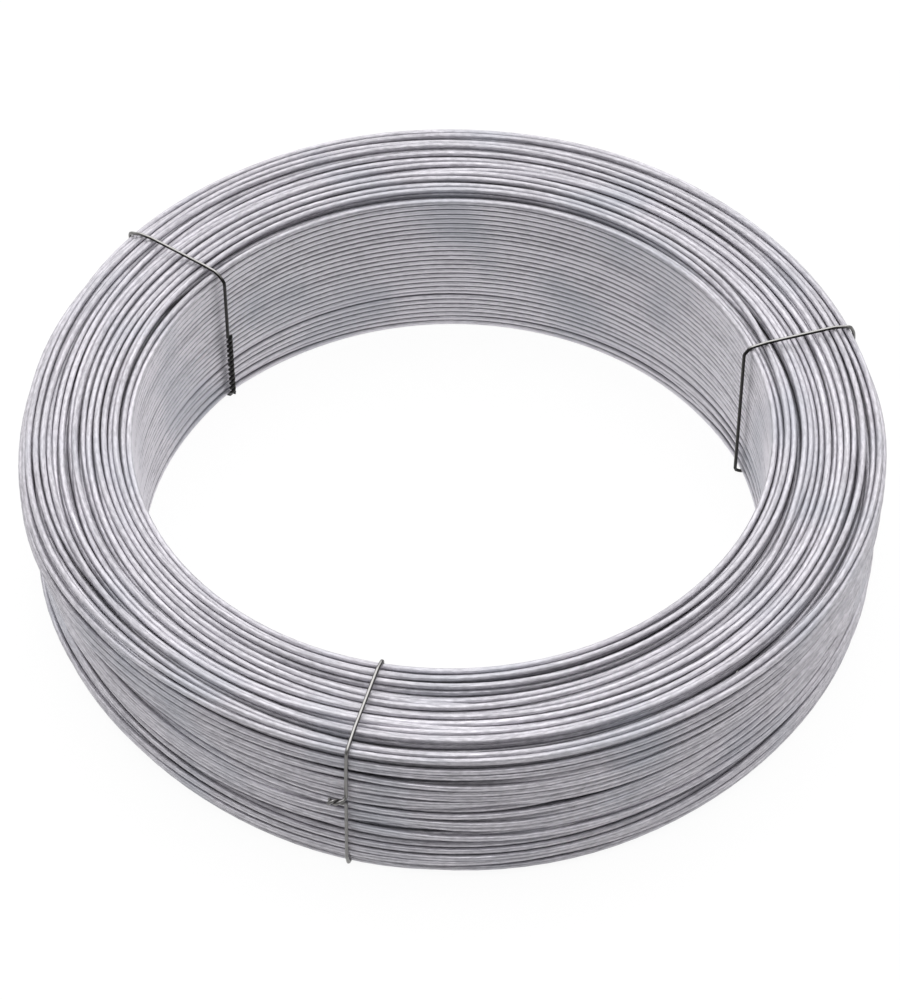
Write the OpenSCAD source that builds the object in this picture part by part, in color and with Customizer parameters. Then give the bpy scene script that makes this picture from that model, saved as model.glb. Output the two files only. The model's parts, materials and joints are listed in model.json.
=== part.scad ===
// Coil of galvanised steel wire, lying flat, held by three tie wires.
// The origin is on the floor at the middle of the bore, and +Z runs up the bore.

/* [Wire] */
// Diameter of the coiled wire
wire_d = 3; // [2.5:0.1:4]
// Play between neighbouring turns of a layer
turn_gap = 0.04; // [0.03:0.01:0.2]

/* [Coil] */
// Diameter of the bore between the crests of the innermost turns
bore_d = 286; // [200:1:400]
// Turns in the innermost layer, from the floor to the top
turns_high = 27; // [16:1:40]
// Layers of turns, from the bore to the outside
layers = 16; // [8:1:24]
// Play between neighbouring layers
layer_gap = 0.17; // [0.05:0.01:0.5]
// Rounding of the outer edge on top
top_round = 4; // [3.5:0.5:8]
// Rounding of the outer edge underneath
bottom_round = 9; // [5:0.5:14]
// Depth of the grooves between the turns
groove_depth = 0.9; // [0.6:0.05:1.1]
// Depth of the narrow flats worn on the crests of the turns
crest_flat = 0.1; // [0.05:0.01:0.2]

/* [Ties] */
// Diameter of a tie wire
tie_d = 1.6; // [1:0.1:2]
// Place of the front tie round the bore, in degrees
front_tie_angle = 257.5; // [240:0.5:275]
// Place of the left tie round the bore, in degrees
left_tie_angle = 138.5; // [120:0.5:155]
// Place of the right tie round the bore, in degrees
right_tie_angle = 17.5; // [0:0.5:35]
// Depth of the ties below the crests in the bore and underneath
tie_sink = 0.15; // [0.1:0.05:0.5]
// Depth of a tie's seat on top and outside, below the grooves
seat_cut = 0.05; // [0.05:0.05:0.4]
// Clearance between a tie and the turns that it presses in
seat_gap = 0.25; // [0.2:0.05:0.6]
// Bend of a tie round the inner edges, at its middle
tie_bend = 3; // [2:0.5:6]

/* [Tie ends] */
// Length along the wire of one turn of a twist
twist_lay = 6.5; // [5:0.5:10]
// Play between the two ends of a twist
twist_gap = 0.2; // [0.1:0.05:0.5]
// Length of the twisted tail on the outside
tail_l = 9; // [6:0.5:16]
// Height of the twisted tail above the middle of the coil
tail_rise = 4.5; // [-8:0.5:8]
// Whole turns in the long twist inside the bore
lap_turns = 5; // [2:1:7]

/* [Hidden] */
$fn = 96;

// Middle lines of the outermost turns
wire_r = wire_d / 2;
crest_r = wire_r - crest_flat;
turn_step = wire_d + turn_gap;
layer_step = wire_d + layer_gap;
bore_r = bore_d / 2;
inner_line = bore_r + crest_r;
outer_line = inner_line + (layers - 1) * layer_step;
outer_r = outer_line + wire_r;
low_line = crest_r;
high_line = low_line + (turns_high - 1) * turn_step;
coil_h = high_line + crest_r;
top_line_r = top_round - wire_r;
bottom_line_r = bottom_round - wire_r;
groove_line = wire_r - groove_depth;

// Run of a tie round the section, at its middle
tie_r = tie_d / 2;
tie_proud = tie_d + seat_gap - groove_depth - seat_cut;
tie_in = bore_r + tie_sink + tie_r;
tie_out = outer_r + tie_proud - tie_r;
tie_low = tie_sink + tie_r;
tie_high = coil_h + tie_proud - tie_r;
tie_top_bend = top_round + tie_proud - tie_r;
tie_bottom_bend = bottom_round - tie_low;

// Twisted ends of the ties
twist_r = tie_r + twist_gap / 2;
tail_bend = tie_d;
tail_h = coil_h / 2 + tail_rise;
tail_line = outer_r + seat_gap + tie_r + twist_r;
lap_line = tie_in + twist_r;
lap_low = tie_low + tie_bend;
lap_l = (lap_turns + 0.5) * twist_lay;

// Room for a tie and for its long twist in the turns
seat_w = tie_d + 2 * seat_gap;
lap_seat_w = 2 * (tie_r + twist_r + seat_gap);
lap_seat_depth = lap_line + twist_r + tie_r + seat_gap - bore_r;

tie_sides = 8;
bend_steps = 5;
twist_steps = 8;

zinc = "#a6a8ad";
dark_iron = "#3b3a3c";

function unit(v) = v / norm(v);

function reversed(list) = [for (i = [len(list) - 1:-1:0]) list[i]];

function without_last(list) = [for (i = [0:len(list) - 2]) list[i]];

// Points on an arc
function arc(centre, r, from, to, steps) =
  [for (i = [0:steps]) let (a = from + (to - from) * i / steps) centre + r * [cos(a), sin(a)]];

// Points at equal steps from one point towards another, without the last
function row(from, to, steps) = [for (i = [0:steps - 1]) from + (to - from) * i / steps];

// As many whole steps as a length has room for
function steps_in(length, step) = max(1, floor(length / step + 0.01));

// Middles of the turns that show, once round the section from the foot of the bore
function shown_turns() = let (
    foot = [inner_line, low_line],
    brim = [inner_line, high_line],
    arc_steps = function (r) steps_in(r * PI / 2, turn_step),
    top_edge = arc([outer_line - top_line_r, high_line - top_line_r], top_line_r, 90, 0,
      arc_steps(top_line_r)),
    bottom_edge = arc([outer_line - bottom_line_r, low_line + bottom_line_r], bottom_line_r, -90, 0,
      arc_steps(bottom_line_r)),
    top_start = top_edge[0],
    top_end = top_edge[len(top_edge) - 1],
    bottom_start = bottom_edge[0],
    bottom_end = bottom_edge[len(bottom_edge) - 1],
    bore_side = row(foot, brim, turns_high - 1),
    top_side = row(brim, top_start, steps_in(top_start[0] - brim[0], layer_step)),
    outside = row(top_end, bottom_end, steps_in(top_end[1] - bottom_end[1], turn_step)),
    underside = row(foot, bottom_start, steps_in(bottom_start[0] - foot[0], layer_step))
  ) concat(
    bore_side,
    top_side,
    without_last(top_edge),
    outside,
    reversed(bottom_edge),
    without_last(reversed(underside))
  );

// Outline of the groove floors: each corner is a turn's middle, moved out square to its neighbours
function groove_floors(turns) = let (n = len(turns), out = function (v) [-v[1], v[0]] / norm(v))
  [for (i = [0:n - 1])
    let (
      before = out(turns[i] - turns[(i + n - 1) % n]),
      after = out(turns[(i + 1) % n] - turns[i])
    )
    turns[i] + groove_line * (before + after) / (1 + before * after)];

// Section of the packed turns, with flats on the crests in the bore, on top and underneath
module coil_section() {
  turns = shown_turns();
  intersection() {
    union() {
      polygon(reversed(groove_floors(turns)));
      for (turn = turns) translate(turn) circle(d = wire_d);
    }
    translate([bore_r, 0]) square([outer_r + wire_d - bore_r, coil_h]);
  }
}

// Corners of a tie's run, moved inwards: outside low, bore low, bore high, outside high
function tie_corners(inset) = let (
    left = tie_in + inset,
    right = tie_out - inset,
    low = tie_low + inset,
    high = tie_high - inset,
    inner = tie_bend - inset,
    bottom = tie_bottom_bend - inset,
    top = tie_top_bend - inset
  ) [
    arc([right - bottom, low + bottom], bottom, 0, -90, bend_steps),
    arc([left + inner, low + inner], inner, -90, -180, bend_steps),
    arc([left + inner, high - inner], inner, 180, 90, bend_steps),
    arc([right - top, high - top], top, 90, 0, bend_steps)
  ];

// Section of the coil under a tie, where the turns are pressed in
module pressed_section() {
  pressed = tie_corners(tie_r + seat_gap);
  polygon(reversed(concat(pressed[0], pressed[1], pressed[2], pressed[3])));
}

// Part of a turned section, from one angle to another
module sector(from, to) {
  rotate(from) rotate_extrude(angle = to - from) children();
}

// Half the angle that a width takes up at the bore
function half_angle(width) = asin(width / bore_d);

// A point of the section in space, in the upright plane of a tie
function upright(p) = [p[0], 0, p[1]];

// End of a tie on the outside, from above (1) or below (-1): it bends aside and twists with the other
function tail_end(side) = let (steps = ceil(twist_steps * tail_l / twist_lay)) concat(
  [for (i = [0:bend_steps])
    let (a = 90 * i / bend_steps)
    [tie_out + (tail_line - tie_out) * pow(sin(a), 2),
     -tail_bend * (1 - cos(a)),
     tail_h + side * (twist_r + tail_bend * (1 - sin(a)))]],
  [for (i = [1:steps])
    let (run = tail_l * i / steps, a = side * 90 + 360 * run / twist_lay)
    [tail_line + twist_r * cos(a), -tail_bend - run, tail_h + twist_r * sin(a)]]
);

// Strand of the long twist, from its top down the bore wall
function lap_strand(phase) = let (turns = lap_turns + 0.5, steps = ceil(twist_steps * turns))
  [for (i = [0:steps])
    let (a = phase + 360 * turns * i / steps)
    [lap_line + twist_r * cos(a), twist_r * sin(a), lap_low + lap_l * (1 - i / steps)]];

// Tie that is closed by a twisted tail on the outside
function tail_tie_path() = concat(
  reversed(tail_end(-1)),
  [for (corner = tie_corners(0), p = corner) upright(p)],
  tail_end(1)
);

// Tie that is closed by a long twist inside the bore
function lap_tie_path() = let (corners = tie_corners(0)) concat(
  without_last(lap_strand(0)),
  [for (k = [1, 0, 3, 2], p = reversed(corners[k])) upright(p)],
  lap_strand(180)
);

// Round wire along a path; each ring keeps its turn from the ring before
module round_wire(path, d) {
  last = len(path) - 1;
  along = [for (i = [0:last]) unit(path[min(i + 1, last)] - path[max(i - 1, 0)])];
  square_to = function (v, t) unit(v - (v * t) * t);
  first = square_to([1, 0.3, 0.2], along[0]);
  across = [for (i = 0, v = first; i <= last; i = i + 1, v = i <= last ? square_to(v, along[i]) : v) v];
  rings = [for (i = [0:last], j = [0:tie_sides - 1])
    let (a = 360 * j / tie_sides)
    path[i] + d / 2 * (cos(a) * across[i] + sin(a) * cross(along[i], across[i]))];
  at = function (i, j) i * tie_sides + j % tie_sides;
  walls = [for (i = [0:last - 1], j = [0:tie_sides - 1], half = [0, 1])
    half == 0
      ? [at(i, j), at(i + 1, j), at(i + 1, j + 1)]
      : [at(i, j), at(i + 1, j + 1), at(i, j + 1)]];
  first_end = [for (j = [0:tie_sides - 1]) at(0, j)];
  last_end = [for (j = [tie_sides - 1:-1:0]) at(last, j)];
  polyhedron(rings, concat(walls, [first_end, last_end]));
}

// Pocket in the pressed turns for the long twist
module lap_pocket() {
  half = half_angle(lap_seat_w);
  sector(left_tie_angle - half, left_tie_angle + half)
    translate([bore_r - wire_d, lap_low - tie_d])
      square([wire_d + lap_seat_depth, lap_l + 2 * tie_d]);
}

// The turns stand out between the ties, on a ring of the pressed section
module wire_coil() {
  seat = half_angle(seat_w);
  lap_seat = half_angle(lap_seat_w + seat_gap);
  color(zinc) {
    difference() {
      rotate_extrude() pressed_section();
      lap_pocket();
    }
    sector(right_tie_angle + seat, left_tie_angle - lap_seat) coil_section();
    sector(left_tie_angle + lap_seat, front_tie_angle - seat) coil_section();
    sector(front_tie_angle + seat, right_tie_angle + 360 - seat) coil_section();
  }
}

module tie_wire_front() {
  color(dark_iron) rotate(front_tie_angle) round_wire(tail_tie_path(), tie_d);
}

module tie_wire_left() {
  color(dark_iron) rotate(left_tie_angle) round_wire(lap_tie_path(), tie_d);
}

module tie_wire_right() {
  color(dark_iron) rotate(right_tie_angle) round_wire(tail_tie_path(), tie_d);
}

wire_coil();
tie_wire_front();
tie_wire_left();
tie_wire_right();
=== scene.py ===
"""Dresses the coil of galvanised wire: its turns, its ties, their finishes and the studio round them."""
import json
import math

import bpy
import numpy as np
from mathutils import Matrix, Vector


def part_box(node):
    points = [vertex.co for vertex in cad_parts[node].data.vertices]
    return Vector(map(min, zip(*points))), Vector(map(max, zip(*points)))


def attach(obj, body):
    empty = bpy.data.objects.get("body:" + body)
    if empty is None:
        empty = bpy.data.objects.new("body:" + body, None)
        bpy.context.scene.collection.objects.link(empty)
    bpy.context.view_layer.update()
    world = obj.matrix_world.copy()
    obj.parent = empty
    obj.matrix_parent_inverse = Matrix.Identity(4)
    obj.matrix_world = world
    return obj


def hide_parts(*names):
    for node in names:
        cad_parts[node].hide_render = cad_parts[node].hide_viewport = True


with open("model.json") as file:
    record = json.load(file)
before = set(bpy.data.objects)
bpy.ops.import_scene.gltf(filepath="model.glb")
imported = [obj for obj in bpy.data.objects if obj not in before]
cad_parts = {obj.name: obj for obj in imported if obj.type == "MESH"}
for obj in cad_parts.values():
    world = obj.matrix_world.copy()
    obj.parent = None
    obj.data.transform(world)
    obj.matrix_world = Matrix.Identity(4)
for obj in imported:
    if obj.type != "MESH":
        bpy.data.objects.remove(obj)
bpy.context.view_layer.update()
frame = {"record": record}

# Sizes of the coil and its ties, in millimetres and degrees
MM = 0.001
COIL_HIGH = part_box("wire_coil")[1]
BORE_R = next(m["dims"]["r_mm"] for m in frame["record"]["mounts"] if m["name"] == "bore")
OUTER_R = COIL_HIGH[0] / MM
COIL_H = COIL_HIGH[2] / MM
WIRE_D = 3.0
WIRE_R = WIRE_D / 2
TURN_PLAY = 0.3           # play left between turns that lie side by side
TIE_D = 1.6
TIE_R = TIE_D / 2
SIDES = 10                # sides of a round wire

# How the wire is wound
SEED = 7
STATIONS = 120            # points of the wire in one turn
LAYERS = 16
TIGHT_LAYERS = 12         # layers wound side by side; those outside them are more open
TURNS_TIGHT = 27.3
TURNS_OPEN = 19.0         # turns in the outermost layer
TURNS_SPREAD = 0.5        # how unevenly the layers are filled
BUNCHES = 4               # bunches of turns in an open layer
BUNCHING = 0.55           # how much closer together they lie there
END_TURN = 0.5            # turns that a layer stays at each of its ends
END_DROP = 1.8            # how far short of the top a layer may end
CLIMB = 0.3               # turns in which the wire climbs to the next layer
TOP_ROUND = 2.0           # rounding of the outer edges
BOTTOM_ROUND = 12.0
OUTER_PLAY = 1.0          # the loose outer turns stand this far out

# How far the turns stray: sizes, each with its reach along the wire in stations
STRAY_OUT = ((0.5, 90), (0.25, 22))
STRAY_OUT_TOP = ((2.4, 60), (0.5, 18))
STRAY_UP = ((3.6, 70), (0.8, 20))
STRAY_UP_OUTER = (4.0, 45)
STRAY_UP_TOP = (1.2, 80)
LOOSE_LEAST = 0.04        # share of it at the bore
LOOSE_POWER = 1.6         # how late it grows towards the outside
LOOSE_TOP = 3.2 * WIRE_D  # how deep the loose turns on top reach
LOOSE_LAYERS = 3.0        # layers over which the loose turns begin

# How the turns come to rest
SLACK = 0.9               # play of the turns on top and outside, beyond the coil's own size
SLACK_MEAN = 0.5          # share of it that is taken up, and how that varies along the wire
SLACK_SPREAD = 0.5
SLACK_REACH = 160
TOP_PLAY = 0.6            # more of it on top
PINCH = 0.8               # how far a tie draws the turns in
PINCH_SPREAD = 6.0
TIE_LIFT = 0.1            # room under a tie
SETTLE_ROUNDS = 120
SINK = 0.003              # how far the turns sink in a round
DRAW_IN = 0.006           # how far the outer ones are drawn in
DRAWN_LAYERS = 2.0        # layers over which this begins
STIFFNESS = 0.12          # how much the wire straightens in a round
PUSHES = 2                # how often turns push each other apart in a round
PUSH_SHARE = 0.3          # share of their overlap that each gives way
PAIR_ROUNDS = 8           # rounds between two searches for neighbours
NEIGHBOUR = 1.35 * WIRE_D
LEAST_APART = 1e-6
EASE_ROUNDS = 6           # rounds in which crossing turns ease their bends
EASE_STIFFNESS = 0.25

# How far the coil is from round and upright, at its outside
OVAL = 3.4
OVAL_AT = 105.0
LOPSIDED = 2.2            # how far the outside lies off the middle of the bore
LOPSIDED_AT = 65.0
UPPER_FROM = 0.55         # share of the height where the upper turns begin, and over which they do
UPPER_BLEND = 0.25
DRAFT = 1.3               # how far the lower outer turns lie in from the upper ones, at front and back
DRAFT_SIDE = 1.2          # the same at left and right
DRAFT_CORNER = 2.8        # more of it between those
OVERHANG = 2.0            # how much further the upper ones stand out at left and right
BULGE = 4.0               # where loose upper turns stand out
BULGE_AT = 202.0
BULGE_SPREAD = 14.0

# Which turns are shown
BORE_DEPTH = 1.25 * WIRE_D
TOP_DEPTH = 3.0 * WIRE_D  # how deep the turns show between those above them
SIDE_DEPTH = 3.1 * WIRE_D
UNDER_DEPTH = 0.75 * WIRE_D
FACE_PLAY = 0.25          # share of a wire by which turns on a face may lie lower than the highest
RUN_ON = 3                # stations by which a stretch of wire runs on where it is hidden
SHORTEST = 8              # stations in the shortest stretch

# How the ties lie round the coil's section
TIES = {
    # angle, sideways lean at the inner top, outer top, outer bottom and inner bottom,
    # stand-off from the bore wall at its top and bottom
    "front": (257.5, (1.2, -2.0, -4.2, 0.0), (0.0, 0.0)),
    "left": (138.5, (1.3, 5.8, 3.0, -0.5), (2.4, 0.4)),
    "right": (17.5, (0.5, 0.0, 0.0, 0.0), (1.8, 1.8)),
}
STAND_OFF_AT = (COIL_H - 3.5, WIRE_R + TIE_D + 1.0)
OUTSIDE_BAND = 20.0       # a tie this near to the outside lies on it
BORE_BAND = 5.0           # a tie this near to the bore wall lies on it
TIE_STEP = 1.5            # distance between the points of a tie
CORNER_STEP = 12.0        # degrees between them where it bends round a turn

# How the ends of the ties are twisted
TWIST_LAY = 6.5           # length of one full twist
TWIST_R = 1.03 * TIE_R
TAIL_Z = 50.5             # height of a twisted tail on the outside
TAIL_L = 5.5
TAIL_OUT = 1.0            # how far a tail stands off the turns
TAIL_SPLAY = 0.12         # how much further it does so for its length
TAIL_POINTS = 26
TAIL_BEND = 1.6
TAIL_BEND_FROM = 8.0      # degrees of the bend that the tie itself takes up
TAIL_BEND_POINTS = 8
LAP_LOW = 4.0             # the ends twisted along the bore wall
LAP_L = 40.0
LAP_ROOM = 5.0            # length of the tie above them that gives way
LAP_POINTS = 80

# Zinc: colours, cells of its mottling in a metre, and how a value moves from one range to another
ZINC_DARK = (0.32, 0.31, 0.34, 1.0)
ZINC_PALE = (0.86, 0.835, 0.89, 1.0)
ZINC_BLUE = (0.46, 0.485, 0.54, 1.0)
ZINC_METALLIC = 0.42
TONE_MEAN = 0.5
TONE_SPREAD = 0.25
TONE_REACH = 100
STREAK_CELLS = (40.0, 1100.0, 1100.0)
STREAK_DETAIL = 4.0
SPANGLE_CELLS = (280.0, 1000.0, 1000.0)
SPANGLE_DETAIL = 3.0
PATCH_CELLS = (22.0, 22.0, 22.0)
PATCH_DETAIL = 1.0
STREAK_LEVEL = (0.3, 0.7, 0.0, 0.45)
TONE_LEVEL = (0.0, 1.0, 0.0, 0.25)
# Painted shade: the turns that lie below the face are drawn darker
DEEP_PAINTED_SHADE = (0.0, 1.0, 0.0, -0.35)
SPANGLE_LEVEL = (0.35, 0.65, 0.0, 0.35)
# Painted highlight on the crest of each turn of the bore wall, painted shade on its flanks towards its
# neighbours
CREST_PAINTED_LIGHT_AND_SHADE = (-0.9, -0.45, 0.5, -0.6)
PATCH_TINT = (0.5, 0.72, 0.0, 0.5)
SPANGLE_ROUGHNESS = (0.3, 0.7, 0.46, 0.3)
GRAIN_STRENGTH = 0.3
GRAIN_HEIGHT = 0.0002

# Tie wire
TIE_BLACK = (0.035, 0.034, 0.033, 1.0)
# Painted highlight colour of the tie wire, where it faces up and on the coil's outside
TIE_PAINTED_HIGHLIGHT = (0.5, 0.49, 0.48, 1.0)
TIE_METALLIC = 0.9
TIE_ROUGHNESS = 0.3
PAINTED_HIGHLIGHT_FACING_UP = (0.72, 0.96, 0.0, 1.0)
PAINTED_HIGHLIGHT_OUTSIDE = ((OUTER_R - 8.0) * MM, OUTER_R * MM, 0.0, 0.35)

# Studio
FLOOR_HALF = 6.0
FLOOR_GREY = (0.45, 0.45, 0.45, 1.0)
FLOOR_ROUGHNESS = 0.9
FLOOR_GLOW = 1.16
FLOOR_SHARE = (0.0, 1.0, 0.0, 0.8)
TENT_WHITE = (1.0, 1.0, 1.0, 1.0)
TENT_UP = (0.05, 0.5, 0.55, 1.3)      # from the floor to overhead
TENT_BACK = (-0.8, 0.7, 0.16, 1.3)    # from the viewer's side to behind the coil
LAMPS = {
    # place, size and power
    "top_lamp": ((0.0, -0.1, 2.0), 2.2, 7.0),
    "front_lamp": ((0.0, -1.0, 2.1), 0.5, 5.0),
}
CAMERA_RISE = math.radians(47.444)
CAMERA_ROLL = -0.00537
CAMERA_DISTANCE = 1.5869
CAMERA_AIM = Vector((-0.00088, 0.0, 0.02868))
CAMERA_LENS = 124.5
CAMERA_SENSOR = 36.0

# Sockets of a Mix node that mixes colours
MIX_FACTOR, MIX_A, MIX_B, MIX_RESULT = 0, 6, 7, 2


def smooth_step(t):
    t = np.clip(t, 0.0, 1.0)
    return t * t * (3.0 - 2.0 * t)


def swing(rng, count, reach):
    """Smooth random values along the wire, of spread 1; reach is in stations."""
    spectrum = np.fft.rfft(rng.standard_normal(count))
    spectrum *= np.exp(-0.5 * (np.fft.rfftfreq(count) * reach * math.pi) ** 2)
    values = np.fft.irfft(spectrum, count)
    return values / values.std()


def stray(rng, count, waves):
    """Smooth random values along the wire, added up from waves of a size and a reach."""
    return sum(size * swing(rng, count, reach) for size, reach in waves)


# The wire's way through the coil

def edge_drop(radius, corner):
    """How far the end of a layer lies in from the coil's end, where its outer edge is rounded."""
    inside = corner - WIRE_R
    over = min(max(radius - (OUTER_R - WIRE_R - inside), 0.0), inside)
    return inside - math.sqrt(inside ** 2 - over ** 2)


def wind_wire(rng):
    """One long wire, wound up and down in layers: its radius, height and layer at each station."""
    step = (OUTER_R + OUTER_PLAY - BORE_R - WIRE_D) / (LAYERS - 1)
    radius, height, layer = [], [], []
    before = BORE_R + WIRE_R
    for k in range(LAYERS):
        here = BORE_R + WIRE_R + k * step
        openness = max(k - TIGHT_LAYERS + 1, 0) / (LAYERS - TIGHT_LAYERS)
        turns = TURNS_TIGHT + (TURNS_OPEN - TURNS_TIGHT) * openness + TURNS_SPREAD * rng.uniform(-1, 1)
        count = int(round(turns * STATIONS))
        low = WIRE_R + edge_drop(here, BOTTOM_ROUND)
        high = COIL_H - WIRE_R - edge_drop(here, TOP_ROUND)
        if 0 < k < LAYERS - 1:
            high -= END_DROP * rng.random()
        run = np.linspace(0.0, 1.0, count, endpoint=False)
        rise = np.clip((run * turns - END_TURN) / (turns - 2.0 * END_TURN), 0.0, 1.0)
        wave = 2.0 * math.pi * BUNCHES
        rise = rise + openness * BUNCHING * np.sin(wave * rise) / wave
        rise = rise if k % 2 == 0 else 1.0 - rise
        height.append(low + (high - low) * rise)
        radius.append(before + (here - before) * smooth_step(run * turns / CLIMB))
        layer.append(np.full(count, float(k)))
        before = here
    whole = sum(len(h) for h in height) // STATIONS * STATIONS
    return [np.concatenate(part)[:whole] for part in (radius, height, layer)]


def loosen(rng, radius, height, layer):
    """Lets the turns stray: hardly at the bore, more towards the outside and on top."""
    count = len(radius)
    loose = LOOSE_LEAST + (layer / (LAYERS - 1)) ** LOOSE_POWER
    on_top = smooth_step((height - (COIL_H - LOOSE_TOP)) / WIRE_D) * smooth_step(layer / LOOSE_LAYERS)
    outer = smooth_step((layer - TIGHT_LAYERS) / LOOSE_LAYERS)
    radius = radius + loose * stray(rng, count, STRAY_OUT)
    radius = radius + on_top * stray(rng, count, STRAY_OUT_TOP)
    height = height + loose * stray(rng, count, STRAY_UP)
    size, reach = STRAY_UP_OUTER
    height = height + outer * size * swing(rng, count, reach)
    size, reach = STRAY_UP_TOP
    return radius, height + on_top * size * swing(rng, count, reach)


def near_ties():
    """At each station, 1 at a tie, fading to 0 beside it."""
    angles = np.arange(STATIONS) * 360.0 / STATIONS
    near = np.zeros(STATIONS)
    for tie, _, _ in TIES.values():
        away = (angles - tie + 180.0) % 360.0 - 180.0
        near = np.maximum(near, np.exp(-0.5 * (away / PINCH_SPREAD) ** 2))
    return near


def neighbours(points):
    """Pairs of turns that lie close to each other, station by station, as flat indices."""
    turns = len(points)
    above = np.triu(np.ones((turns, turns), dtype=bool), 1)
    first, second = [], []
    for j in range(STATIONS):
        place = points[:, j].astype(np.float32)
        apart = place[:, None] - place[None]
        close = (apart ** 2).sum(axis=2) < NEIGHBOUR ** 2
        a, b = np.nonzero(close & above)
        first.append(a * STATIONS + j)
        second.append(b * STATIONS + j)
    return np.concatenate(first), np.concatenate(second)


def push_apart(flat, first, second):
    """Moves turns that run into each other apart, in the plane across the wire."""
    gap = flat[second] - flat[first]
    distance = np.maximum(np.hypot(gap[:, 0], gap[:, 1]), LEAST_APART)
    overlap = WIRE_D - distance
    hit = overlap > 0
    move = gap[hit] * (PUSH_SHARE * overlap[hit] / distance[hit])[:, None]
    for axis in (0, 1):
        flat[:, axis] += np.bincount(second[hit], move[:, axis], len(flat))
        flat[:, axis] -= np.bincount(first[hit], move[:, axis], len(flat))


def straighten(flat, stiffness):
    """Moves each point of the wire towards the middle of the two beside it."""
    flat[1:-1] += stiffness * (flat[2:] + flat[:-2] - 2.0 * flat[1:-1])


def settle(rng, radius, height, layer):
    """Lets the strayed turns come to rest on each other, inside the coil's outline."""
    flat = np.column_stack((radius, height))
    tied = np.tile(near_ties(), len(flat) // STATIONS)
    play = SLACK * (SLACK_MEAN + SLACK_SPREAD * swing(rng, len(flat), SLACK_REACH)) - PINCH * tied
    top = COIL_H - WIRE_R + TOP_PLAY + play
    outside = OUTER_R + OUTER_PLAY - WIRE_R + play
    bottom = WIRE_R + (TIE_D + TIE_LIFT) * tied
    outer = smooth_step((layer - TIGHT_LAYERS) / DRAWN_LAYERS)
    for step in range(SETTLE_ROUNDS):
        if step % PAIR_ROUNDS == 0:
            first, second = neighbours(flat.reshape(-1, STATIONS, 2))
        flat[:, 1] -= SINK
        flat[:, 0] -= DRAW_IN * outer
        straighten(flat, STIFFNESS)
        for _ in range(PUSHES):
            push_apart(flat, first, second)
        flat[:, 1] = np.clip(flat[:, 1], bottom, top)
        flat[:, 0] = np.clip(flat[:, 0], BORE_R + WIRE_R, outside)
    for _ in range(EASE_ROUNDS):
        straighten(flat, EASE_STIFFNESS)
    return np.clip(flat[:, 0], BORE_R + WIRE_R, outside), np.clip(flat[:, 1], bottom, top)


def out_of_round(radius, height):
    """Makes the outside a little oval and lopsided, with overhanging upper turns; the bore stays round."""
    degrees = np.arange(len(radius)) % STATIONS * 360.0 / STATIONS
    angle = np.radians(degrees)
    share = (radius - BORE_R) / (OUTER_R - BORE_R)
    around = OVAL * np.cos(2.0 * (angle - math.radians(OVAL_AT)))
    around += LOPSIDED * np.cos(angle - math.radians(LOPSIDED_AT))
    upper = smooth_step((height / COIL_H - UPPER_FROM) / UPPER_BLEND)
    sideways = np.cos(angle) ** 2
    draft = DRAFT + (DRAFT_SIDE - DRAFT) * sideways + DRAFT_CORNER * np.sin(2.0 * angle) ** 2
    bulge = BULGE * np.exp(-0.5 * ((degrees - BULGE_AT) / BULGE_SPREAD) ** 2) * upper
    return radius + (around - draft * (1.0 - upper)) * share + (OVERHANG * sideways + bulge) * share ** 3


def wound_coil(rng):
    """The wire as it lies in the coil: radius and height at each station."""
    radius, height, layer = wind_wire(rng)
    radius, height = loosen(rng, radius, height, layer)
    radius, height = settle(rng, radius, height, layer)
    return out_of_round(radius, height), height


# The turns that show

def outermost(across, level):
    """The highest level at each station, in bins one wire wide across the section."""
    bins = np.maximum((across / WIRE_D).astype(int), 0)
    station = np.arange(len(across)) % STATIONS
    best = np.full((bins.max() + 1, STATIONS), -np.inf)
    np.maximum.at(best, (bins, station), level)
    return best[bins, station]


def shown_faces(radius, height):
    """For each face of the coil, which points of the wire show on it."""
    inner = radius - BORE_R
    return {
        "bore": inner < BORE_DEPTH,
        "top": height > outermost(inner, height) - TOP_DEPTH,
        "outside": radius > outermost(height, radius) - SIDE_DEPTH,
        "underside": height < -outermost(inner, -height) + UNDER_DEPTH,
    }


def depth_below(radius, height):
    """How deep each point of the wire lies below the nearest face: 0 on the face, 1 a turn below it; the
    zinc finish paints shade by it.
    """
    inner = radius - BORE_R
    depth = np.minimum(outermost(inner, height) - height, outermost(height, radius) - radius)
    depth = np.minimum(depth, np.minimum(inner - WIRE_R, height - WIRE_R))
    return smooth_step((depth / WIRE_D - FACE_PLAY) / (1.0 - FACE_PLAY))


def on_bore_wall(radius, height):
    """1 for the turns of the bore wall below its rim, 0 for all others; on them the zinc finish paints
    light and shade.
    """
    inner = radius - BORE_R
    below = outermost(inner, height) - height
    return smooth_step((BORE_DEPTH - inner) / WIRE_R) * smooth_step(below / WIRE_D)


def runs_of(mask):
    """Starts and ends of the stretches where a mask holds."""
    edges = np.flatnonzero(np.diff(np.concatenate(([0], mask.astype(int), [0]))))
    return list(zip(edges[::2], edges[1::2]))


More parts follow.
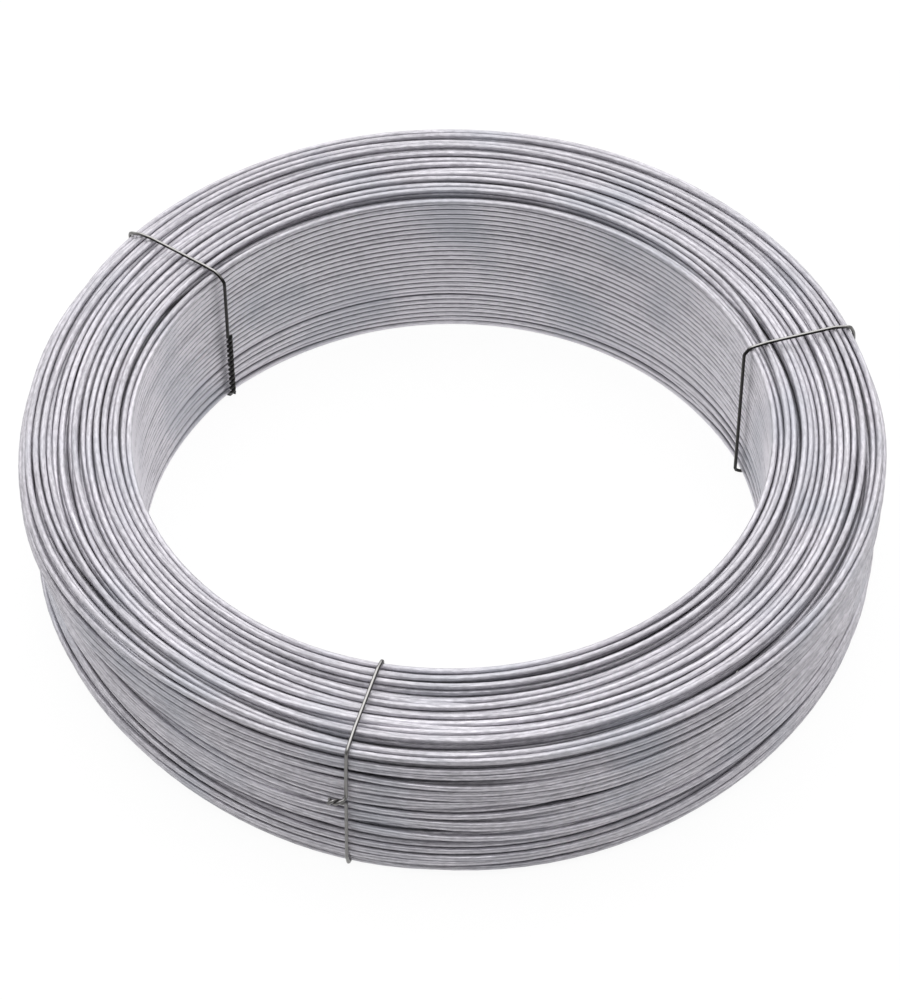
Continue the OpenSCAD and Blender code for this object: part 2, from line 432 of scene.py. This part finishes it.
def split_by_face(radius, height):
    """Stretches of the wire for each face of the coil; a stretch belongs to the face it shows on most."""
    faces = shown_faces(radius, height)
    shown = np.zeros(len(radius), dtype=bool)
    for mask in faces.values():
        shown |= mask
    spread = shown.copy()
    for shift in range(1, RUN_ON + 1):
        spread[shift:] |= shown[:-shift]
        spread[:-shift] |= shown[shift:]
    owner = np.full(len(radius), -1)
    for i, mask in reversed(list(enumerate(faces.values()))):
        owner[mask] = i
    stretches = {name: [] for name in faces}
    for start, end in runs_of(spread):
        if end - start < SHORTEST:
            continue
        cuts = list(range(start, end, STATIONS)) + [end]
        if cuts[-1] - cuts[-2] < SHORTEST and len(cuts) > 2:
            cuts.pop(-2)
        for a, b in zip(cuts[:-1], cuts[1:]):
            stop = min(b + 1, end)
            marks = owner[a:stop]
            marks = marks[marks >= 0]
            name = list(faces)[np.bincount(marks).argmax()] if len(marks) else "outside"
            stretches[name].append((a, stop))
    return stretches


# Geometry Nodes: a round wire along paths

def wire_tree():
    """Sweeps a round wire along every path of a mesh of edges, with closed ends."""
    tree = bpy.data.node_groups.new("Round wire along paths", "GeometryNodeTree")
    face = tree.interface
    face.new_socket("Paths", in_out="INPUT", socket_type="NodeSocketGeometry")
    face.new_socket("Wire radius", in_out="INPUT", socket_type="NodeSocketFloat")
    face.new_socket("Sides", in_out="INPUT", socket_type="NodeSocketInt")
    face.new_socket("Finish", in_out="INPUT", socket_type="NodeSocketMaterial")
    face.new_socket("Wire", in_out="OUTPUT", socket_type="NodeSocketGeometry")
    nodes, links = tree.nodes, tree.links
    given = nodes.new("NodeGroupInput")
    curve = nodes.new("GeometryNodeMeshToCurve")
    ring = nodes.new("GeometryNodeCurvePrimitiveCircle")
    sweep = nodes.new("GeometryNodeCurveToMesh")
    sweep.inputs["Fill Caps"].default_value = True
    smooth = nodes.new("GeometryNodeSetShadeSmooth")
    real = nodes.new("GeometryNodeRealizeInstances")
    finish = nodes.new("GeometryNodeSetMaterial")
    out = nodes.new("NodeGroupOutput")
    links.new(given.outputs["Paths"], curve.inputs["Mesh"])
    links.new(given.outputs["Sides"], ring.inputs["Resolution"])
    links.new(given.outputs["Wire radius"], ring.inputs["Radius"])
    links.new(curve.outputs["Curve"], sweep.inputs["Curve"])
    links.new(ring.outputs["Curve"], sweep.inputs["Profile Curve"])
    links.new(sweep.outputs["Mesh"], smooth.inputs["Geometry"])
    links.new(smooth.outputs["Geometry"], real.inputs["Geometry"])
    links.new(real.outputs["Geometry"], finish.inputs["Geometry"])
    links.new(given.outputs["Finish"], finish.inputs["Material"])
    links.new(finish.outputs["Geometry"], out.inputs["Wire"])
    return tree


def sweep_wire(name, tree, paths, marks, radius, finish):
    """A piece of round wire along paths, given as lists of points in metres, with values for each point."""
    mesh = bpy.data.meshes.new(name)
    points = np.concatenate(paths)
    edges, start = [], 0
    for path in paths:
        index = np.arange(start, start + len(path))
        edges.append(np.column_stack((index[:-1], index[1:])))
        start += len(path)
    mesh.from_pydata(points.tolist(), np.concatenate(edges).tolist(), [])
    for mark, values in marks.items():
        mesh.attributes.new(mark, "FLOAT", "POINT").data.foreach_set("value", np.concatenate(values))
    piece = bpy.data.objects.new(name, mesh)
    bpy.context.scene.collection.objects.link(piece)
    sweep = piece.modifiers.new("Sweep", "NODES")
    sweep.node_group = tree
    sizes = {"Wire radius": radius, "Sides": SIDES, "Finish": finish}
    for item in tree.interface.items_tree:
        if item.in_out == "INPUT" and item.name in sizes:
            sweep[item.identifier] = sizes[item.name]
    bpy.context.view_layer.update()
    graph = bpy.context.evaluated_depsgraph_get()
    swept = bpy.data.meshes.new_from_object(piece.evaluated_get(graph), depsgraph=graph)
    piece.modifiers.clear()
    piece.data = swept
    bpy.data.meshes.remove(mesh)
    swept.name = name
    return piece


# Finishes

def new_finish(name):
    finish = bpy.data.materials.new(name)
    finish.use_nodes = True
    return finish, finish.node_tree.nodes, finish.node_tree.links


def add_node(nodes, kind, **values):
    """A node with some of its sockets set; an underscore stands for a space in a socket's name."""
    node = nodes.new(kind)
    for socket, value in values.items():
        node.inputs[socket.replace("_", " ")].default_value = value
    return node


def wire_value(nodes, mark):
    """A value that the wire carries at each of its points."""
    value = nodes.new("ShaderNodeAttribute")
    value.attribute_name = mark
    return value.outputs["Fac"]


def distance_from_axis(nodes, links):
    """Distance from the coil's axis, height above the floor, and the place itself."""
    place = nodes.new("ShaderNodeTexCoord")
    parts = nodes.new("ShaderNodeSeparateXYZ")
    links.new(place.outputs["Object"], parts.inputs["Vector"])
    flat = nodes.new("ShaderNodeCombineXYZ")
    links.new(parts.outputs["X"], flat.inputs["X"])
    links.new(parts.outputs["Y"], flat.inputs["Y"])
    away = nodes.new("ShaderNodeVectorMath")
    away.operation = "LENGTH"
    links.new(flat.outputs["Vector"], away.inputs[0])
    return away.outputs["Value"], parts.outputs["Z"], place.outputs["Object"]


def along_wire(nodes, links):
    """Place on the wire, by the way along it, its distance from the axis and its height, and in space."""
    away, up, place = distance_from_axis(nodes, links)
    on_wire = nodes.new("ShaderNodeCombineXYZ")
    links.new(wire_value(nodes, "along"), on_wire.inputs["X"])
    links.new(away, on_wire.inputs["Y"])
    links.new(up, on_wire.inputs["Z"])
    return on_wire.outputs["Vector"], place


def mottle(nodes, links, place, cells, detail):
    """Random grey levels over a place, with so many cells in a metre each way."""
    scaled = add_node(nodes, "ShaderNodeMapping", Scale=cells)
    links.new(place, scaled.inputs["Vector"])
    noise = add_node(nodes, "ShaderNodeTexNoise", Scale=1.0, Detail=detail)
    links.new(scaled.outputs["Vector"], noise.inputs["Vector"])
    return noise.outputs["Fac"]


def mapped(nodes, links, value, ranges):
    """A value moved from one range to another: low and high of the first, then of the second."""
    low, high, to_low, to_high = ranges
    move = add_node(nodes, "ShaderNodeMapRange", From_Min=low, From_Max=high, To_Min=to_low, To_Max=to_high)
    links.new(value, move.inputs["Value"])
    return move.outputs["Result"]


def combined(nodes, links, how, a, b):
    """Two values combined by a Math node, such as their sum, their product or the larger one."""
    node = nodes.new("ShaderNodeMath")
    node.operation = how
    links.new(a, node.inputs[0])
    links.new(b, node.inputs[1])
    return node.outputs["Value"]


def facing_outward(nodes, links, place):
    """How squarely the surface faces away from the coil's axis: -1 on the crest of a turn in the bore."""
    flat = nodes.new("ShaderNodeVectorMath")
    flat.operation = "MULTIPLY"
    flat.inputs[1].default_value = (1.0, 1.0, 0.0)
    links.new(place, flat.inputs[0])
    outward = nodes.new("ShaderNodeVectorMath")
    outward.operation = "NORMALIZE"
    links.new(flat.outputs["Vector"], outward.inputs[0])
    surface = nodes.new("ShaderNodeTexCoord")
    facing = nodes.new("ShaderNodeVectorMath")
    facing.operation = "DOT_PRODUCT"
    links.new(surface.outputs["Normal"], facing.inputs[0])
    links.new(outward.outputs["Vector"], facing.inputs[1])
    return facing.outputs["Value"]


def zinc_finish():
    """Dull zinc on drawn wire: streaked, with a tone for each turn and bluish patches, painted shade on the
    turns below the face, and on the bore wall a painted highlight on each crest with painted shade beside
    it.
    """
    finish, nodes, links = new_finish("Zinc wire")
    shader = nodes["Principled BSDF"]
    shader.inputs["Metallic"].default_value = ZINC_METALLIC
    tone, deep = [wire_value(nodes, mark) for mark in ("tone", "deep")]
    on_wire, place = along_wire(nodes, links)
    streak = mottle(nodes, links, on_wire, STREAK_CELLS, STREAK_DETAIL)
    spangle = mottle(nodes, links, on_wire, SPANGLE_CELLS, SPANGLE_DETAIL)
    patch = mottle(nodes, links, place, PATCH_CELLS, PATCH_DETAIL)
    level = mapped(nodes, links, streak, STREAK_LEVEL)
    # The deep term is painted shade: turns below the face are drawn darker
    for value, ranges in ((tone, TONE_LEVEL), (deep, DEEP_PAINTED_SHADE), (spangle, SPANGLE_LEVEL)):
        level = combined(nodes, links, "ADD", level, mapped(nodes, links, value, ranges))
    # Painted light and shade on the bore wall: each turn's crest is drawn lighter, its flanks darker
    crest = mapped(nodes, links, facing_outward(nodes, links, place), CREST_PAINTED_LIGHT_AND_SHADE)
    crest = combined(nodes, links, "MULTIPLY", crest, wire_value(nodes, "bore_wall"))
    level = combined(nodes, links, "ADD", level, crest)
    colour = nodes.new("ShaderNodeValToRGB")
    colour.color_ramp.elements[0].color = ZINC_DARK
    colour.color_ramp.elements[1].color = ZINC_PALE
    links.new(level, colour.inputs["Fac"])
    tint = nodes.new("ShaderNodeMix")
    tint.data_type = "RGBA"
    links.new(mapped(nodes, links, patch, PATCH_TINT), tint.inputs[MIX_FACTOR])
    links.new(colour.outputs["Color"], tint.inputs[MIX_A])
    tint.inputs[MIX_B].default_value = ZINC_BLUE
    links.new(tint.outputs[MIX_RESULT], shader.inputs["Base Color"])
    links.new(mapped(nodes, links, spangle, SPANGLE_ROUGHNESS), shader.inputs["Roughness"])
    grain = add_node(nodes, "ShaderNodeBump", Strength=GRAIN_STRENGTH, Distance=GRAIN_HEIGHT)
    links.new(combined(nodes, links, "ADD", streak, spangle), grain.inputs["Height"])
    links.new(grain.outputs["Normal"], shader.inputs["Normal"])
    return finish


def tie_finish():
    """Black annealed iron wire, with a painted highlight where it faces up and a fainter one on the coil's
    outside.
    """
    finish, nodes, links = new_finish("Black tie wire")
    shader = nodes["Principled BSDF"]
    shader.inputs["Metallic"].default_value = TIE_METALLIC
    shader.inputs["Roughness"].default_value = TIE_ROUGHNESS
    surface = nodes.new("ShaderNodeNewGeometry")
    parts = nodes.new("ShaderNodeSeparateXYZ")
    links.new(surface.outputs["Normal"], parts.inputs["Vector"])
    # Painted highlight: the tie is drawn lighter where it faces up and near the coil's outside
    on_top = mapped(nodes, links, parts.outputs["Z"], PAINTED_HIGHLIGHT_FACING_UP)
    outside = mapped(nodes, links, distance_from_axis(nodes, links)[0], PAINTED_HIGHLIGHT_OUTSIDE)
    colour = nodes.new("ShaderNodeMix")
    colour.data_type = "RGBA"
    links.new(combined(nodes, links, "MAXIMUM", on_top, outside), colour.inputs[MIX_FACTOR])
    colour.inputs[MIX_A].default_value = TIE_BLACK
    colour.inputs[MIX_B].default_value = TIE_PAINTED_HIGHLIGHT
    links.new(colour.outputs[MIX_RESULT], shader.inputs["Base Color"])
    return finish


def floor_finish():
    """White floor: it shows nearly white, in the metal too, with the coil's soft shadow on it."""
    finish, nodes, links = new_finish("White floor")
    shader = nodes["Principled BSDF"]
    shader.inputs["Base Color"].default_value = FLOOR_GREY
    shader.inputs["Roughness"].default_value = FLOOR_ROUGHNESS
    glow = add_node(nodes, "ShaderNodeEmission", Strength=FLOOR_GLOW)
    ray = nodes.new("ShaderNodeLightPath")
    mix = nodes.new("ShaderNodeMixShader")
    seen = combined(nodes, links, "MAXIMUM", ray.outputs["Is Camera Ray"], ray.outputs["Is Glossy Ray"])
    seen = combined(nodes, links, "MAXIMUM", seen, ray.outputs["Is Transmission Ray"])
    links.new(mapped(nodes, links, seen, FLOOR_SHARE), mix.inputs["Fac"])
    links.new(shader.outputs["BSDF"], mix.inputs[1])
    links.new(glow.outputs["Emission"], mix.inputs[2])
    links.new(mix.outputs["Shader"], nodes["Material Output"].inputs["Surface"])
    return finish


# The coil

def wire_points(radius, height, start, stop):
    """Points of a stretch of the wire, in metres."""
    angle = np.radians(np.arange(start, stop) % STATIONS * 360.0 / STATIONS)
    r = radius[start:stop]
    return MM * np.column_stack((r * np.cos(angle), r * np.sin(angle), height[start:stop]))


def make_coil(rng, radius, height, tree, finish):
    """The turns that show, one piece for each face of the coil."""
    count = len(radius)
    values = {
        "along": np.cumsum(np.full(count, 2.0 * math.pi * MM / STATIONS) * radius),
        "tone": np.clip(TONE_MEAN + TONE_SPREAD * swing(rng, count, TONE_REACH), 0.0, 1.0),
        # Depth below the face, by which the zinc finish paints shade
        "deep": depth_below(radius, height),
        # Where the zinc finish paints light and shade on the bore's turns
        "bore_wall": on_bore_wall(radius, height),
    }
    shown_r = (WIRE_R - TURN_PLAY / 2) * MM
    pieces = []
    for face, stretches in split_by_face(radius, height).items():
        paths = [wire_points(radius, height, a, b) for a, b in stretches]
        marks = {mark: [value[a:b] for a, b in stretches] for mark, value in values.items()}
        pieces.append(sweep_wire("wire_turns_" + face, tree, paths, marks, shown_r, finish))
    return pieces


# The ties

def section_at(radius, height, angle):
    """Where the turns cross the upright plane at an angle: radius and height of each."""
    place = angle * STATIONS / 360.0
    low = int(place)
    share = place - low
    both = np.stack((radius.reshape(-1, STATIONS), height.reshape(-1, STATIONS)), axis=2)
    return (1.0 - share) * both[:, low] + share * both[:, (low + 1) % STATIONS]


def hull(points):
    """Corners of the tightest loop round some points, counter-clockwise."""
    points = sorted(map(tuple, points))

    def half(order):
        kept = []
        for p in order:
            while len(kept) > 1:
                a, b = kept[-2], kept[-1]
                if (b[0] - a[0]) * (p[1] - a[1]) - (b[1] - a[1]) * (p[0] - a[0]) > 0:
                    break
                kept.pop()
            kept.append(p)
        return kept[:-1]

    return np.array(half(points) + half(points[::-1]))


def pulled_round(corners, reach):
    """A loop pulled tight round corners at a distance, as closely set points."""
    path = []
    count = len(corners)
    for i in range(count):
        before, here, after = corners[i - 1], corners[i], corners[(i + 1) % count]
        turn_in = math.atan2(*(here - before)[::-1]) - math.pi / 2
        turn_out = math.atan2(*(after - here)[::-1]) - math.pi / 2
        sweep = (turn_out - turn_in) % (2.0 * math.pi)
        steps = max(int(math.degrees(sweep) / CORNER_STEP), 1)
        for k in range(steps + 1):
            a = turn_in + sweep * k / steps
            path.append(here + reach * np.array((math.cos(a), math.sin(a))))
    closed = np.array(path + path[:1])
    length = np.concatenate(([0.0], np.cumsum(np.hypot(*np.diff(closed, axis=0).T))))
    marks = np.arange(0.0, length[-1], TIE_STEP)
    return np.column_stack([np.interp(marks, length, closed[:, i]) for i in (0, 1)])


def leaned(path, lean):
    """Adds the sideways lean to a path in the upright plane: radius, sideways, height."""
    inner_top, outer_top, outer_low, inner_low = lean
    out = np.clip((path[:, 0] - BORE_R) / (OUTER_R - BORE_R), 0.0, 1.0)
    up = np.clip(path[:, 1] / COIL_H, 0.0, 1.0)
    side = up * (inner_top + (outer_top - inner_top) * out)
    side += (1.0 - up) * (inner_low + (outer_low - inner_low) * out)
    return np.column_stack((path[:, 0], side, path[:, 1]))


def from_height(loop, on_face, height):
    """The loop turned so that it begins on a face, at a height."""
    start = np.flatnonzero(on_face)[np.abs(loop[on_face, 1] - height).argmin()]
    return np.roll(loop, -start, axis=0)


def twist(count, length):
    """Two offsets across a twist's axis, and the way along it, from root to tip."""
    way = np.linspace(0.0, length, count)
    turn = 2.0 * math.pi * way / TWIST_LAY
    return TWIST_R * np.cos(turn), TWIST_R * np.sin(turn), way


def tie_with_tail(loop, lean):
    """A tie whose two ends are twisted into a short tail on the outside, pointing clockwise."""
    loop = leaned(from_height(loop, loop[:, 0] > OUTER_R - OUTSIDE_BAND, TAIL_Z), lean)
    reach = TWIST_R + TAIL_BEND
    at_tail = (loop[:, 0] >= OUTER_R - OUTSIDE_BAND) & (np.abs(loop[:, 2] - TAIL_Z) <= reach)
    loop = loop[~at_tail]
    root_u, root_v = loop[0, 0], loop[0, 1]
    ends = []
    for upper in (1.0, -1.0):
        bend = np.radians(np.linspace(TAIL_BEND_FROM, 90.0, TAIL_BEND_POINTS))
        curve = np.column_stack((
            root_u + (TWIST_R + TAIL_OUT) * smooth_step(bend / (math.pi / 2)),
            root_v - TAIL_BEND + TAIL_BEND * np.cos(bend),
            TAIL_Z + upper * (reach - TAIL_BEND * np.sin(bend)),
        ))
        rise, out, way = twist(TAIL_POINTS, TAIL_L)
        tail = np.column_stack((
            root_u + TWIST_R + TAIL_OUT + TAIL_SPLAY * way + upper * out,
            root_v - TAIL_BEND - way,
            TAIL_Z + upper * rise,
        ))
        ends.append(np.concatenate((curve, tail[1:])))
    return np.concatenate((ends[0][::-1], loop, ends[1]))


def tie_with_lap(loop, lean):
    """A tie whose two ends are twisted along the lower bore wall."""
    loop = leaned(from_height(loop, loop[:, 0] < BORE_R + BORE_BAND, LAP_LOW), lean)
    top = LAP_LOW + LAP_L
    in_lap = (loop[:, 0] < BORE_R + BORE_BAND) & (loop[:, 2] > LAP_LOW) & (loop[:, 2] < top + LAP_ROOM)
    lap = loop[in_lap][np.argsort(loop[in_lap, 2])]
    loop = loop[~in_lap]
    across, out, way = twist(LAP_POINTS, LAP_L)
    wall, side = [np.interp(top - way, lap[:, 2], lap[:, i]) for i in (0, 1)]
    axis = wall - TWIST_R
    first = np.column_stack((axis - out, side - across, top - way))
    last = np.column_stack((axis + out, side + across, top - way))
    return np.concatenate((first, loop, last))


def make_tie(name, radius, height, tree, finish):
    """One tie, pulled tight round the coil's section."""
    angle, lean, stand_off = TIES[name]
    turns = section_at(radius, height, angle)
    if any(stand_off):
        inner = BORE_R + WIRE_R - np.array(stand_off)
        turns = np.concatenate((turns, np.column_stack((inner, STAND_OFF_AT))))
    loop = pulled_round(hull(turns), WIRE_R + TIE_R)
    path = tie_with_lap(loop, lean) if name == "left" else tie_with_tail(loop, lean)
    a = math.radians(angle)
    u, v, z = path.T
    x = u * math.cos(a) - v * math.sin(a)
    y = u * math.sin(a) + v * math.cos(a)
    return sweep_wire("tie_" + name, tree, [MM * np.column_stack((x, y, z))], {}, TIE_R * MM, finish)


# The studio

def make_floor(finish):
    mesh = bpy.data.meshes.new("floor")
    corners = [(x * FLOOR_HALF, y * FLOOR_HALF, 0) for x, y in ((-1, -1), (1, -1), (1, 1), (-1, 1))]
    mesh.from_pydata(corners, [], [(0, 1, 2, 3)])
    mesh.materials.append(finish)
    floor = bpy.data.objects.new("floor", mesh)
    bpy.context.scene.collection.objects.link(floor)


def make_lamp(name, place, size, power):
    """A square soft lamp that looks at the coil."""
    light = bpy.data.lights.new(name, "AREA")
    light.size = size
    light.energy = power
    lamp = bpy.data.objects.new(name, light)
    lamp.location = place
    lamp.rotation_euler = (-Vector(place)).to_track_quat("-Z", "Y").to_euler()
    bpy.context.scene.collection.objects.link(lamp)


def make_world():
    """A white tent: brighter overhead and behind the coil, dimmer towards the floor and the viewer."""
    world = bpy.data.worlds.new("White tent")
    world.use_nodes = True
    nodes, links = world.node_tree.nodes, world.node_tree.links
    place = nodes.new("ShaderNodeTexCoord")
    parts = nodes.new("ShaderNodeSeparateXYZ")
    links.new(place.outputs["Generated"], parts.inputs["Vector"])
    up = mapped(nodes, links, parts.outputs["Z"], TENT_UP)
    back = mapped(nodes, links, parts.outputs["Y"], TENT_BACK)
    nodes["Background"].inputs["Color"].default_value = TENT_WHITE
    links.new(combined(nodes, links, "MULTIPLY", up, back), nodes["Background"].inputs["Strength"])
    bpy.context.scene.world = world


def make_camera():
    back = Vector((0.0, -math.cos(CAMERA_RISE), math.sin(CAMERA_RISE)))
    right = Vector((1.0, 0.0, 0.0))
    up = back.cross(right)
    c, s = math.cos(CAMERA_ROLL), math.sin(CAMERA_ROLL)
    axes = Matrix((c * right + s * up, c * up - s * right, back)).transposed()
    data = bpy.data.cameras.new("camera")
    data.lens = CAMERA_LENS
    data.sensor_width = CAMERA_SENSOR
    camera = bpy.data.objects.new("camera", data)
    camera.matrix_world = Matrix.Translation(CAMERA_AIM + CAMERA_DISTANCE * back) @ axes.to_4x4()
    bpy.context.scene.collection.objects.link(camera)
    bpy.context.scene.camera = camera


make_camera()
tree = wire_tree()
rng = np.random.default_rng(SEED)
radius, height = wound_coil(rng)
for piece in make_coil(rng, radius, height, tree, zinc_finish()):
    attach(piece, "root")
    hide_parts("wire_coil")
black = tie_finish()
for name in TIES:
    piece = make_tie(name, radius, height, tree, black)
    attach(piece, "root")
    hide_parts("tie_wire_" + name)
make_floor(floor_finish())
make_world()
for name, (place, size, power) in LAMPS.items():
    make_lamp(name, place, size, power)
bpy.context.scene.view_settings.view_transform = "Standard"
